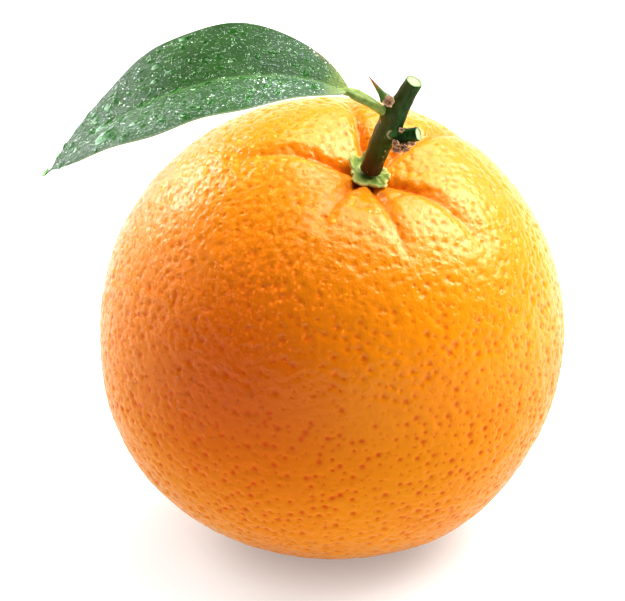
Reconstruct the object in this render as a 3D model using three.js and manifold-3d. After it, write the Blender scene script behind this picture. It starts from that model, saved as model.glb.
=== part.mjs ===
// A sweet orange as picked: the fruit with its calyx, a cut length of twig and one leaf.
// Millimetres, +Z up, -Y towards the front. The origin is the centre of the flat spot it rests on.
import * as THREE from "three";
import { mergeVertices } from "three/addons/utils/BufferGeometryUtils.js";
import Module from "manifold-3d";

const wasm = await Module();
wasm.setup();

// ---- Driving dimensions ----
const GAP = 0.3; // clearance between pieces that grow against each other

const FRUIT_RADIUS = 40;
const REST_SPOT_RADIUS = 9;
// Where the fruit is fuller or flatter than a ball. Rise is in millimetres, spread in degrees.
const UNDERSIDE = { towards: [0, 0, -1], rise: -2.0, spread: 26 };
const FULLNESS = [
  UNDERSIDE,
  { towards: [-0.82, -0.23, -0.52], rise: 0.75, spread: 25 }, // the fuller cheek, low on the left
  { towards: [0.5, -0.35, -0.79], rise: 0.7, spread: 16 }, // low on the right
  { towards: [-1, 0, 0], rise: -0.35, spread: 14 }, // the flatter left side
];
const AXIS_LEAN = 10; // degrees that the stem axis leans to +X
const AXIS_TILT = 17.75; // degrees that it tilts to -Y
const BASIN = { depth: 5.8, spread: 13 }; // the hollow round the calyx, spread in degrees

// The creases between the shoulder's lobes. Azimuth and reach are in degrees about the stem
// axis, turn is how far the crease swings by its end, depth and width are in millimetres.
const FURROWS = [
  { azimuth: -178, turn: -2, reach: 36, depth: 2.6, width: 5.2 },
  { azimuth: -120, turn: 6, reach: 30, depth: 2.2, width: 3.6 },
  { azimuth: -82, turn: 14, reach: 32, depth: 2.1, width: 3.6 },
  { azimuth: -28, turn: 0, reach: 38, depth: 2.4, width: 4.8 },
  { azimuth: 50, turn: 2, reach: 48, depth: 2.2, width: 4.8 },
  { azimuth: 108, turn: -8, reach: 40, depth: 2.4, width: 4.4 },
];
const BLOSSOM_SCAR = { depth: 1.1, spread: 5 }; // the dimple at the far end of the axis

// The calyx is a dish of five lobes. Lobes: azimuth in degrees, reach and lift of the tip.
const CALYX = { radius: 3.1, thickness: 0.95, rimThickness: 0.45, lobeSpread: 21 };
const CALYX_LOBES = [
  { azimuth: 152, reach: 1.0, lift: 1.4 },
  { azimuth: 96, reach: 0.6, lift: 2.4 },
  { azimuth: -12, reach: 0.4, lift: 0.4 },
  { azimuth: -60, reach: 1.7, lift: 0.0 },
  { azimuth: -118, reach: 1.7, lift: 0.0 },
];

// Routes of the twig and what it carries, from the fruit's centre.
const STEM_ROUTE = [
  [6.27, -10.85, 33.75],
  [7.6, -12.5, 38.2],
  [9.4, -14.0, 42.9],
  [11.3, -15.2, 47.3],
  [12.9, -16.3, 50.8],
];
const STEM_RADII = [1.75, 1.72, 1.85, 2.0, 1.95, 1.68, 1.5, 1.4]; // foot to cut, evenly spaced
const STEM_NODES = [
  { at: [8.7, -15.3, 45.4], rise: 0.9, spread: 1.7 }, // the cushion under the leaf stalk
  { at: [10.6, -14.5, 40.7], rise: 0.2, spread: 1.6 }, // the cushion under the side shoot
];
const SHOOT_ROUTE = [
  [11.85, -14.6, 40.9],
  [13.7, -15.35, 41.55],
];
const SHOOT_RADIUS = 1.15;
const SHOOT_FLARE = 0.25; // how much wider its foot is
const THORN_ROUTE = [
  [8.0, -14.9, 48.1],
  [7.0, -15.1, 49.5],
  [5.65, -15.4, 51.5],
];
const THORN_RADIUS = 0.62;
const AXIL_BUD = { at: [8.75, -17.35, 48.0], size: [0.95, 0.85, 1.05] };
const SHOOT_BUDS = [
  { at: [10.35, -16.1, 39.3], size: [0.9, 0.75, 0.7] },
  { at: [11.6, -16.35, 39.35], size: [0.9, 0.6, 0.55] },
];
const STALK_ROUTE = [
  [7.55, -16.1, 46.25],
  [6.0, -15.9, 47.15],
  [4.4, -15.6, 47.95],
  [2.95, -15.3, 48.55],
];
const STALK_WIDTHS = [1.0, 0.9, 1.1, 1.6]; // half widths, stem to blade
const STALK_THICKNESS = 0.62; // half thickness

const MIDRIB_ROUTE = [
  [2.55, -15.2, 48.7],
  [-3.7, -14.8, 50.4],
  [-10.9, -14.4, 50.9],
  [-18.9, -14.2, 50.0],
  [-27.0, -14.2, 47.4],
  [-35.1, -14.2, 43.3],
  [-41.7, -14.2, 38.6],
  [-46.8, -14.2, 34.0],
];
const BLADE = {
  halfWidth: 16.2,
  pointStart: 0.97, // the share of the length where the fine point begins
  pointHalfWidth: 0.35,
  thickness: 0.5,
  backRise: [27, 3], // degrees that the back half rises from the midrib, at stalk and tip
  frontRise: [-2, 1],
  pillow: 0.5, // how far each half bulges between midrib and edge
};

// ---- Helpers ----
const UP = new THREE.Vector3(0, 0, 1);
const BACK = new THREE.Vector3(0, 1, 0);
const radians = THREE.MathUtils.degToRad;
const degrees = THREE.MathUtils.radToDeg;
const vector = (xyz) => new THREE.Vector3(...xyz);
const bell = (x) => Math.exp(-x * x);

// The shortest turn from one azimuth to another, in degrees.
const turnBetween = (a, b) => THREE.MathUtils.euclideanModulo(a - b + 180, 360) - 180;

const smoothRoute = (points) => new THREE.CatmullRomCurve3(points.map(vector));

// Reads a value at t from 0 to 1 in an evenly spaced list.
function valueAt(list, t) {
  const place = THREE.MathUtils.clamp(t, 0, 1) * (list.length - 1);
  const i = Math.min(Math.floor(place), list.length - 2);
  return THREE.MathUtils.lerp(list[i], list[i + 1], place - i);
}

// Moves every vertex of a closed shape to where toPlace(vertex) puts it.
function reshape(shape, toPlace) {
  shape.deleteAttribute("normal");
  shape.deleteAttribute("uv");
  const merged = mergeVertices(shape);
  const positions = merged.getAttribute("position");
  const vertex = new THREE.Vector3();
  for (let i = 0; i < positions.count; i++) {
    vertex.fromBufferAttribute(positions, i);
    const placed = toPlace(vertex);
    positions.setXYZ(i, placed.x, placed.y, placed.z);
  }
  merged.computeVertexNormals();
  return merged;
}

// Lays an upright shape of unit height along a curve. sectionAt(t) gives its half width
// across the curve and its half thickness.
function layAlong(curve, shape, sectionAt) {
  return reshape(shape, (vertex) => {
    const t = THREE.MathUtils.clamp(vertex.y + 0.5, 0, 1);
    const tangent = curve.getTangentAt(t);
    const side = new THREE.Vector3().crossVectors(tangent, UP).normalize();
    const face = new THREE.Vector3().crossVectors(side, tangent);
    const [halfWidth, halfThickness] = sectionAt(t);
    return curve
      .getPointAt(t)
      .addScaledVector(side, vertex.x * halfWidth)
      .addScaledVector(face, vertex.z * halfThickness);
  });
}

function toSolid(geometry) {
  return new wasm.Manifold(
    new wasm.Mesh({
      numProp: 3,
      vertProperties: geometry.getAttribute("position").array,
      triVerts: new Uint32Array(geometry.index.array),
    }),
  );
}

function fromSolid(solid) {
  const mesh = solid.getMesh();
  const geometry = new THREE.BufferGeometry();
  geometry.setAttribute("position", new THREE.BufferAttribute(mesh.vertProperties, 3));
  geometry.setIndex(new THREE.BufferAttribute(mesh.triVerts, 1));
  geometry.computeVertexNormals();
  return geometry;
}

function piece(name, geometry, colour, roughness) {
  const material = new THREE.MeshStandardMaterial({ color: colour, roughness, metalness: 0 });
  const mesh = new THREE.Mesh(geometry, material);
  mesh.name = name;
  return mesh;
}

// ---- Fruit ----
const lean = radians(AXIS_LEAN);
const tilt = radians(AXIS_TILT);
const stemAxis = new THREE.Vector3(
  Math.sin(lean),
  -Math.cos(lean) * Math.sin(tilt),
  Math.cos(lean) * Math.cos(tilt),
);
// The axis frame: +Z is the stem axis, +X keeps level across the front.
const axisRight = new THREE.Vector3().crossVectors(BACK, stemAxis).normalize();
const axisBack = new THREE.Vector3().crossVectors(stemAxis, axisRight);
const axisTurn = new THREE.Quaternion().setFromRotationMatrix(
  new THREE.Matrix4().makeBasis(axisRight, axisBack, stemAxis),
);
const restSpotAngle = Math.asin(REST_SPOT_RADIUS / (FRUIT_RADIUS + UNDERSIDE.rise));
const centreHeight =
  Math.cos(restSpotAngle) *
  (FRUIT_RADIUS + UNDERSIDE.rise * bell(degrees(restSpotAngle) / UNDERSIDE.spread));

// How deep one crease is at a polar angle and azimuth about the stem axis.
function furrowDepth(furrow, polar, azimuth) {
  if (polar >= furrow.reach) return 0;
  const share = polar / furrow.reach;
  const line = furrow.azimuth + furrow.turn * share;
  const across = radians(Math.abs(turnBetween(azimuth, line)));
  const distance = across * Math.sin(radians(polar)) * FRUIT_RADIUS;
  const width = furrow.width * (0.35 + 0.65 * share);
  const valley = Math.max(0, 1 - distance / width) ** 2;
  const fade = (1 - share) ** 0.8 * (1 - bell(polar / 6));
  return furrow.depth * valley * fade;
}

// The peel's distance from the fruit's centre, along a direction in the axis frame.
function peelRadius(direction) {
  const polar = degrees(Math.acos(THREE.MathUtils.clamp(direction.z, -1, 1)));
  const azimuth = degrees(Math.atan2(direction.y, direction.x));
  const level = direction.clone().applyQuaternion(axisTurn);
  const fullness = FULLNESS.reduce((sum, { towards, rise, spread }) => {
    return sum + rise * bell(degrees(level.angleTo(vector(towards))) / spread);
  }, 0);
  const basin = BASIN.depth * bell(polar / BASIN.spread);
  const scar = BLOSSOM_SCAR.depth * bell((180 - polar) / BLOSSOM_SCAR.spread);
  const creases = FURROWS.reduce((sum, f) => sum + furrowDepth(f, polar, azimuth), 0);
  return FRUIT_RADIUS + fullness - basin - scar - creases;
}

function fruitGeometry() {
  const ball = new THREE.SphereGeometry(1, 72, 34);
  ball.rotateX(Math.PI / 2);
  const RING_CROWDING = 0.35; // rings stand closer together towards the stem
  const peel = reshape(ball, (vertex) => {
    const even = Math.acos(THREE.MathUtils.clamp(vertex.z, -1, 1));
    const polar = even - RING_CROWDING * Math.sin(even);
    const azimuth = Math.atan2(vertex.y, vertex.x);
    const direction = new THREE.Vector3(
      Math.sin(polar) * Math.cos(azimuth),
      Math.sin(polar) * Math.sin(azimuth),
      Math.cos(polar),
    );
    return direction.clone().multiplyScalar(peelRadius(direction)).applyQuaternion(axisTurn);
  });
  const below = FRUIT_RADIUS;
  const ground = new THREE.BoxGeometry(FRUIT_RADIUS, FRUIT_RADIUS, below);
  ground.translate(0, 0, -centreHeight - below / 2);
  return fromSolid(toSolid(peel).subtract(toSolid(reshape(ground, (vertex) => vertex))));
}

// ---- Calyx ----
function lobeSum(azimuth, key) {
  return CALYX_LOBES.reduce((sum, lobe) => {
    return sum + lobe[key] * bell(turnBetween(azimuth, lobe.azimuth) / CALYX.lobeSpread);
  }, 0);
}

// A dish that follows the basin's floor: its profile runs in shares of the radius and of the
// thickness, and each azimuth stretches and lifts it by the lobe there. The lathe turns about
// Y, which becomes the stem axis.
function calyxGeometry() {
  const profile = [
    [0, 0],
    [0.5, 0],
    [0.85, 0],
    [1, 0.25],
    [0.97, 0.85],
    [0.85, 1],
    [0.6, 0.8],
    [0.3, 1],
    [0, 1],
  ].map(([share, level]) => new THREE.Vector2(share, level));
  const floor = FRUIT_RADIUS - BASIN.depth + GAP;
  const floorCurve = 0.06; // how the basin's floor rises with the radius squared
  return reshape(new THREE.LatheGeometry(profile, 60), (vertex) => {
    const share = Math.hypot(vertex.x, vertex.z);
    const azimuth = degrees(Math.atan2(-vertex.z, vertex.x));
    const radius = share * (CALYX.radius + lobeSum(azimuth, "reach"));
    const thickness = THREE.MathUtils.lerp(CALYX.thickness, CALYX.rimThickness, share);
    const lift = lobeSum(azimuth, "lift") * Math.max(0, share - 0.4) ** 2 / 0.36;
    const height = floor + floorCurve * radius ** 2 + vertex.y * thickness + lift;
    return new THREE.Vector3(
      radius * Math.cos(radians(azimuth)),
      radius * Math.sin(radians(azimuth)),
      height,
    );
  });
}

// ---- Twig ----
function stemGeometry() {
  const cushions = STEM_NODES.map((node) => ({ ...node, at: vector(node.at) }));
  const route = smoothRoute(STEM_ROUTE);
  const shaft = layAlong(route, new THREE.CylinderGeometry(1, 1, 1, 18, 16), (t) => {
    const radius = valueAt(STEM_RADII, t);
    return [radius, radius];
  });
  return reshape(shaft, (vertex) => {
    const moved = vertex.clone();
    for (const { at, rise, spread } of cushions) {
      const swell = rise * bell(vertex.distanceTo(at) / spread);
      const core = nearestOn(route, vertex);
      moved.addScaledVector(vertex.clone().sub(core).normalize(), swell);
    }
    return moved;
  });
}

// The point of a curve nearest to a point, to within a step of the curve.
function nearestOn(curve, point) {
  const STEPS = 60;
  return curve
    .getSpacedPoints(STEPS)
    .reduce((best, p) => (p.distanceTo(point) < best.distanceTo(point) ? p : best));
}

function shootGeometry() {
  return layAlong(
    smoothRoute(SHOOT_ROUTE),
    new THREE.CylinderGeometry(1, 1, 1, 16, 5),
    (t) => {
      const radius = SHOOT_RADIUS + SHOOT_FLARE * bell(t / 0.4);
      return [radius, radius];
    },
  );
}

function thornGeometry() {
  const needle = new THREE.CylinderGeometry(0.06, 1, 1, 12, 6);
  return layAlong(smoothRoute(THORN_ROUTE), needle, () => [THORN_RADIUS, THORN_RADIUS]);
}

function budGeometry({ at, size }) {
  const bud = new THREE.SphereGeometry(1, 12, 8);
  bud.scale(...size);
  bud.translate(...at);
  return reshape(bud, (vertex) => vertex);
}

function shootBudsGeometry() {
  const [first, ...others] = SHOOT_BUDS.map((bud) => toSolid(budGeometry(bud)));
  return fromSolid(others.reduce((joined, bud) => joined.add(bud), first));
}

// ---- Leaf ----
function stalkGeometry() {
  const bar = new THREE.CylinderGeometry(1, 1, 1, 12, 8);
  return layAlong(smoothRoute(STALK_ROUTE), bar, (t) => [
    valueAt(STALK_WIDTHS, t),
    STALK_THICKNESS,
  ]);
}

// The blade's half width at a share of its length: a full oval, drawn out to a fine point.
function bladeHalfWidth(share) {
  const along = Math.min(share / BLADE.pointStart, 1);
  const oval = Math.max(0, Math.sin(Math.PI * along ** 1.04)) ** 0.79;
  return BLADE.pointHalfWidth + (BLADE.halfWidth - BLADE.pointHalfWidth) * oval;
}

// A point of the blade: share runs from stalk to tip, across from -1 at the front edge to 1 at
// the back edge, level from -0.5 on the underside to 0.5 on top.
function bladePoint(midrib, share, across, level) {
  const tangent = midrib.getTangentAt(share);
  const back = BACK.clone().addScaledVector(tangent, -BACK.dot(tangent)).normalize();
  const normal = new THREE.Vector3().crossVectors(back, tangent);
  const halfWidth = bladeHalfWidth(share);
  const reach = halfWidth * Math.abs(across);
  const rise = radians(valueAt(across > 0 ? BLADE.backRise : BLADE.frontRise, share));
  const bulge = BLADE.pillow * Math.sin(Math.PI * Math.abs(across));
  const lift = reach * Math.sin(rise) + (bulge * halfWidth) / BLADE.halfWidth;
  return midrib
    .getPointAt(share)
    .addScaledVector(back, Math.sign(across) * reach * Math.cos(rise))
    .addScaledVector(normal, lift + level * BLADE.thickness);
}

function bladeGeometry() {
  const midrib = smoothRoute(MIDRIB_ROUTE);
  return reshape(new THREE.BoxGeometry(1, 1, 1, 26, 8, 1), (vertex) =>
    bladePoint(midrib, 0.5 - vertex.x, vertex.y * 2, vertex.z),
  );
}

// ---- Assembly ----
const orange = new THREE.Group();
orange.position.z = centreHeight;

const calyx = piece("calyx", calyxGeometry(), 0x8fa63a, 0.6);
calyx.quaternion.copy(axisTurn);

orange.add(
  piece("fruit", fruitGeometry(), 0xf08a12, 0.4),
  calyx,
  piece("stem", stemGeometry(), 0x3f5a24, 0.55),
  piece("side_shoot_stub", shootGeometry(), 0x4a6b28, 0.55),
  piece("side_shoot_buds", shootBudsGeometry(), 0x8a5540, 0.75),
  piece("thorn", thornGeometry(), 0x7a8f35, 0.5),
  piece("leaf_axil_bud", budGeometry(AXIL_BUD), 0x7d5a3c, 0.75),
  piece("leaf_stalk", stalkGeometry(), 0x9db85a, 0.5),
  piece("leaf_blade", bladeGeometry(), 0x3f7d33, 0.35),
);

export default orange;
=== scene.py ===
"""A freshly picked sweet orange: peel, calyx, cut twig, one wet leaf and the studio round them."""

import math

import bmesh
import bpy
import numpy as np
from mathutils import Matrix, Vector


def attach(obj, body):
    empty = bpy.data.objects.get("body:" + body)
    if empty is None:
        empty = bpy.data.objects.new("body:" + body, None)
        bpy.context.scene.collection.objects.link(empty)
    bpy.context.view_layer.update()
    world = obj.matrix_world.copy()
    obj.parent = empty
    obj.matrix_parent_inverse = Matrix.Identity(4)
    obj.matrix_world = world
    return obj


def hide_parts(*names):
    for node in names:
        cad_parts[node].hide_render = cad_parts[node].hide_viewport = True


bl_info = {
    "name": "Sweet Orange",
    "version": (1, 0, 0),
    "blender": (4, 5, 0),
    "location": "View3D > Sidebar > Orange",
    "description": "Builds a freshly picked orange with its calyx, a cut twig and one wet leaf",
    "category": "Add Mesh",
}

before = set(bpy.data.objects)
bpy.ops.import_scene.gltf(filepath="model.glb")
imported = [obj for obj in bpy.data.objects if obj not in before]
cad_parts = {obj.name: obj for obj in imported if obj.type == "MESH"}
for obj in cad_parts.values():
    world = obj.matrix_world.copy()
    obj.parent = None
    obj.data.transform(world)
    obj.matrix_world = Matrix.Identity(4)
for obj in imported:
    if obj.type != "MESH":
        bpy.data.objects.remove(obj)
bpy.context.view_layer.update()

# ---- Driving dimensions: millimetres and degrees, from the fruit's centre ----
MM = 0.001
FRUIT_RADIUS = 40
REST_SPOT_RADIUS = 9
# Where the fruit is fuller or flatter than a ball: direction, rise, spread in degrees.
UNDERSIDE = ((0, 0, -1), -2.0, 26)
FULLNESS = (
    UNDERSIDE,
    ((-0.82, -0.23, -0.52), 0.75, 25),
    ((0.5, -0.35, -0.79), 0.7, 16),
    ((-1, 0, 0), -0.35, 14),
)
AXIS_LEAN = math.radians(10)
AXIS_TILT = math.radians(17.75)
BASIN_DEPTH = 5.8
BASIN_SPREAD = 13
# The shoulder's creases: azimuth, turn and reach in degrees about the stem axis, depth, width.
FURROWS = (
    (-178, -2, 36, 2.6, 5.2),
    (-120, 6, 30, 2.2, 3.6),
    (-82, 14, 32, 2.1, 3.6),
    (-28, 0, 38, 2.4, 4.8),
    (50, 2, 48, 2.2, 4.8),
    (108, -8, 40, 2.4, 4.4),
)
SCAR_DEPTH = 1.1
SCAR_SPREAD = 5

CALYX_RADIUS = 3.1
CALYX_THICKNESS = 0.95
CALYX_RIM = 0.45
LOBE_SPREAD = 21
# The calyx's lobes: azimuth in degrees, reach, lift of the tip.
CALYX_LOBES = (
    (152, 1.0, 1.4),
    (96, 0.6, 2.4),
    (-12, 0.4, 0.4),
    (-60, 1.7, 0.0),
    (-118, 1.7, 0.0),
)

STEM_ROUTE = (
    (6.27, -10.85, 33.75),
    (7.6, -12.5, 38.2),
    (9.4, -14.0, 42.9),
    (11.3, -15.2, 47.3),
    (12.9, -16.3, 50.8),
)
STEM_RADII = (1.75, 1.72, 1.85, 2.0, 1.95, 1.68, 1.5, 1.4)
# Swellings of the stem: centre, rise, spread.
STEM_NODES = (
    ((8.7, -15.3, 45.4), 0.9, 1.7),
    ((10.6, -14.5, 40.7), 0.45, 1.7),
    ((9.6, -16.2, 41.2), 0.75, 0.75),
)
SHOOT_ROUTE = ((10.6, -14.1, 40.5), (12.2, -14.75, 41.03), (13.75, -15.36, 41.55))
SHOOT_RADIUS = 1.15
SHOOT_FLARE = 0.45
THORN_ROUTE = ((8.45, -14.9, 47.4), (7.0, -15.1, 49.5), (5.65, -15.4, 51.5))
THORN_RADIUS = 0.72
AXIL_BUD = ((8.85, -17.1, 47.9), (1.0, 0.95, 1.1))
SHOOT_BUDS = (
    ((10.35, -16.1, 39.3), (0.95, 0.8, 0.75)),
    ((11.6, -16.35, 39.35), (0.95, 0.65, 0.6)),
    ((10.95, -16.0, 42.35), (0.55, 0.5, 0.5)),
)
STALK_ROUTE = (
    (8.2, -16.1, 45.8),
    (6.0, -15.9, 47.15),
    (4.4, -15.6, 47.95),
    (2.55, -15.2, 48.7),
    (0.2, -15.1, 49.1),
)
STALK_WIDTHS = (1.25, 1.05, 1.15, 1.6, 1.2)
STALK_THICKNESS = 0.85

MIDRIB_ROUTE = (
    (2.55, -15.2, 48.7),
    (-3.7, -14.8, 50.4),
    (-10.9, -14.4, 50.9),
    (-18.9, -14.2, 50.0),
    (-27.0, -14.2, 47.4),
    (-35.1, -14.2, 43.3),
    (-41.7, -14.2, 38.6),
    (-46.8, -14.2, 34.0),
)
BLADE_HALF_WIDTH = 16.2
BLADE_POINT_START = 0.97
BLADE_POINT_HALF_WIDTH = 0.35
BLADE_BACK_RISE = (27, 3)
BLADE_FRONT_RISE = (-2, 1)
BLADE_PILLOW = 0.5
BLADE_THICKNESS = 0.42
VEIN_SPACING = 4.6

CAMERA_ELEVATION = math.radians(24)
CAMERA_DISTANCE = 460
CAMERA_TARGET = (-3.266, 1.982, 4.451)
CAMERA_LENS = 153.34


# ---- Shape helpers ----
def bell(x):
    return np.exp(-np.square(x))


def unit(vectors):
    return vectors / np.linalg.norm(vectors, axis=-1, keepdims=True)


def turn_between(a, b):
    """The shortest turn from one azimuth to another, in degrees."""
    return np.mod(a - b + 180, 360) - 180


def share_between(values, start, end):
    """0 up to start and 1 from end on, straight between them."""
    return np.clip((values - start) / (end - start), 0, 1)


def value_at(values, t):
    """Reads evenly spaced values at t from 0 to 1."""
    return np.interp(t, np.linspace(0, 1, len(values)), values)


def route_points(knots, steps=400):
    """Points and tangents of a smooth centripetal curve through the knots, evenly spaced."""
    knots = np.array(knots, float)
    ends = np.vstack([2 * knots[0] - knots[1], knots, 2 * knots[-1] - knots[-2]])
    weight = np.linspace(0, 1, 60)[:, None]
    spans = []
    for i in range(len(knots) - 1):
        p0, p1, p2, p3 = ends[i : i + 4]
        gaps = [math.sqrt(np.linalg.norm(b - a)) for a, b in ((p0, p1), (p1, p2), (p2, p3))]
        leave = (p1 - p0) / gaps[0] - (p2 - p0) / (gaps[0] + gaps[1]) + (p2 - p1) / gaps[1]
        arrive = (p2 - p1) / gaps[1] - (p3 - p1) / (gaps[1] + gaps[2]) + (p3 - p2) / gaps[2]
        leave = leave * gaps[1]
        arrive = arrive * gaps[1]
        square = -3 * p1 + 3 * p2 - 2 * leave - arrive
        cube = 2 * p1 - 2 * p2 + leave + arrive
        spans.append(p1 + weight * (leave + weight * (square + weight * cube)))
    fine = np.vstack(spans)
    lengths = np.concatenate([[0], np.cumsum(np.linalg.norm(np.diff(fine, axis=0), axis=1))])
    even = np.linspace(0, lengths[-1], steps)
    points = np.stack([np.interp(even, lengths, fine[:, k]) for k in range(3)], axis=1)
    return points, unit(np.gradient(points, axis=0))


def read_route(route, t):
    """The curve's points and tangents at shares t of its length."""
    shares = np.linspace(0, 1, len(route[0]))
    point, tangent = (
        np.stack([np.interp(t, shares, values[:, k]) for k in range(3)], axis=-1)
        for values in route
    )
    return point, unit(tangent)


def skin(rings):
    """Vertices and outward faces of a closed tube through rings of points, ends fanned shut."""
    count, around = rings.shape[:2]
    points = rings.reshape(-1, 3)
    index = np.arange(count * around).reshape(count, around)
    ahead = np.roll(index, -1, axis=1)
    quads = np.stack([index[:-1], ahead[:-1], ahead[1:], index[1:]], axis=-1).reshape(-1, 4)
    first = count * around
    caps = [(first, b, a) for a, b in zip(index[0], ahead[0])]
    caps += [(first + 1, a, b) for a, b in zip(index[-1], ahead[-1])]
    points = np.vstack([points, rings[0].mean(axis=0), rings[-1].mean(axis=0)])
    corners = points[quads] - points.mean(axis=0)
    volume = np.einsum("ij,ij->i", corners[:, 0], np.cross(corners[:, 1], corners[:, 2])).sum()
    faces = quads.tolist() + [[int(i) for i in cap] for cap in caps]
    if volume < 0:
        faces = [face[::-1] for face in faces]
    return points, faces


def joined_skins(ring_sets):
    """Several closed tubes as one list of vertices and one of faces."""
    points, faces = [], []
    start = 0
    for rings in ring_sets:
        ring_points, ring_faces = skin(rings)
        points.append(ring_points)
        faces += [[index + start for index in face] for face in ring_faces]
        start += len(ring_points)
    return np.vstack(points), faces


def tube_rings(route, shares, around, radius_at):
    """Rings round a curve. radius_at(share, angle) gives half width and half thickness."""
    point, tangent = read_route(route, shares)
    side = unit(np.cross(tangent, (0, 0, 1)))
    face = np.cross(side, tangent)
    angle = np.linspace(0, 2 * np.pi, around, endpoint=False)
    width, thickness = radius_at(shares[:, None], angle[None, :])
    return (
        point[:, None, :]
        + side[:, None, :] * (width * np.cos(angle))[..., None]
        + face[:, None, :] * (thickness * np.sin(angle))[..., None]
    )


# ---- The fruit's shape ----
STEM_AXIS = np.array(
    (
        math.sin(AXIS_LEAN),
        -math.cos(AXIS_LEAN) * math.sin(AXIS_TILT),
        math.cos(AXIS_LEAN) * math.cos(AXIS_TILT),
    )
)
AXIS_RIGHT = unit(np.cross((0, 1, 0), STEM_AXIS))
AXIS_FRAME = np.array((AXIS_RIGHT, np.cross(STEM_AXIS, AXIS_RIGHT), STEM_AXIS))
REST_ANGLE = math.asin(REST_SPOT_RADIUS / (FRUIT_RADIUS + UNDERSIDE[1]))
CENTRE_HEIGHT = math.cos(REST_ANGLE) * (
    FRUIT_RADIUS + UNDERSIDE[1] * bell(math.degrees(REST_ANGLE) / UNDERSIDE[2])
)
FRUIT_CENTRE = np.array((0, 0, CENTRE_HEIGHT))


def polar_azimuth(directions):
    polar = np.degrees(np.arccos(np.clip(directions[:, 2], -1, 1)))
    return polar, np.degrees(np.arctan2(directions[:, 1], directions[:, 0]))


def crease_depths(directions):
    """The depth of each crease at directions in the axis frame, one row a crease."""
    polar, azimuth = polar_azimuth(directions)
    rows = []
    for bearing, turn, reach, depth, width in FURROWS:
        share = np.clip(polar / reach, 0, 1)
        across = np.radians(np.abs(turn_between(azimuth, bearing + turn * share)))
        distance = across * np.sin(np.radians(polar)) * FRUIT_RADIUS
        valley = np.maximum(0, 1 - distance / (width * (0.35 + 0.65 * share))) ** 2
        rows.append(depth * valley * (1 - share) ** 0.8 * (1 - bell(polar / 6)))
    return np.array(rows)


def peel_radius(directions):
    """The peel's distance from the centre, along directions in the axis frame."""
    polar = polar_azimuth(directions)[0]
    level = directions @ AXIS_FRAME
    radius = FRUIT_RADIUS - BASIN_DEPTH * bell(polar / BASIN_SPREAD)
    radius = radius - SCAR_DEPTH * bell((180 - polar) / SCAR_SPREAD)
    for towards, rise, spread in FULLNESS:
        apart = np.degrees(np.arccos(np.clip(level @ unit(np.array(towards, float)), -1, 1)))
        radius = radius + rise * bell(apart / spread)
    return radius - crease_depths(directions).sum(axis=0)


def geodesic_ball(splits):
    """Unit directions and triangles of an icosahedron whose edges are split evenly."""
    seed = bmesh.new()
    bmesh.ops.create_icosphere(seed, subdivisions=1, radius=1)
    corners = np.array([[vertex.co[:] for vertex in face.verts] for face in seed.faces])
    seed.free()
    steps = np.array([(i, j) for i in range(splits + 1) for j in range(splits + 1 - i)])
    share = np.column_stack([splits - steps.sum(axis=1), steps]) / splits

    def row(i):
        return i * (splits + 1) - i * (i - 1) // 2

    triangles = []
    for i, j in steps:
        if i + j < splits:
            triangles.append((row(i) + j, row(i + 1) + j, row(i) + j + 1))
        if i + j < splits - 1:
            triangles.append((row(i + 1) + j, row(i + 1) + j + 1, row(i) + j + 1))
    points = unit(np.einsum("sk,fkx->fsx", share, corners)).reshape(-1, 3)
    offsets = (np.arange(len(corners)) * len(steps))[:, None, None]
    faces = (np.array(triangles)[None] + offsets).reshape(-1, 3)
    keys = np.round(points * 1e5).astype(np.int64)
    first, merged = np.unique(keys, axis=0, return_index=True, return_inverse=True)[1:]
    return points[first], merged.reshape(-1)[faces]


# ---- Blender helpers ----
def new_mesh(name, points, faces, attributes=None):
    """A smooth mesh from points in millimetres about the fruit's centre."""
    mesh = bpy.data.meshes.new(name)
    placed = (np.asarray(points) + FRUIT_CENTRE) * MM
    mesh.from_pydata(placed.tolist(), [], faces, shade_flat=False)
    for label, values in (attributes or {}).items():
        layer = mesh.attributes.new(label, "FLOAT", "POINT")
        layer.data.foreach_set("value", np.asarray(values, np.float32).ravel())
    mesh.validate()
    return mesh


def new_object(name, mesh, material):
    mesh.materials.clear()
    mesh.materials.append(material)
    made = bpy.data.objects.new(name, mesh)
    bpy.context.scene.collection.objects.link(made)
    return made


def settle(piece, slot, *nodes):
    """Hands a finished piece to the frame."""
    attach(piece, "root")
    if nodes:
        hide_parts(*nodes)


def socket_named(sockets, name):
    if isinstance(name, int):
        return sockets[name]
    return next(socket for socket in sockets if socket.name == name and socket.enabled)


def add(tree, kind, inputs=None, **settings):
    """Adds a node, sets it up and wires or sets its inputs."""
    made = tree.nodes.new(kind)
    for name, value in settings.items():
        setattr(made, name, value)
    for name, value in (inputs or {}).items():
        socket = socket_named(made.inputs, name)
        if isinstance(value, bpy.types.NodeSocket):
            tree.links.new(value, socket)
        else:
            socket.default_value = value
    return made


def maths(tree, operation, a, b=0.5, c=0.5):
    inputs = {0: a, 1: b, 2: c}
    return add(tree, "ShaderNodeMath", inputs, operation=operation).outputs[0]


def vector_maths(tree, operation, a, b=(0, 0, 0)):
    made = add(tree, "ShaderNodeVectorMath", {0: a, 1: b}, operation=operation)
    return made.outputs["Value" if operation in ("LENGTH", "DISTANCE") else "Vector"]


def scaled(tree, vector, factor):
    inputs = {"Vector": vector, "Scale": factor}
    return add(tree, "ShaderNodeVectorMath", inputs, operation="SCALE").outputs["Vector"]


def bell_of(tree, distance, width):
    """A bell curve of a distance, for node trees."""
    share = maths(tree, "DIVIDE", distance, width)
    square = maths(tree, "MULTIPLY", share, share)
    return maths(tree, "EXPONENT", maths(tree, "MULTIPLY", square, -1.0))


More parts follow.
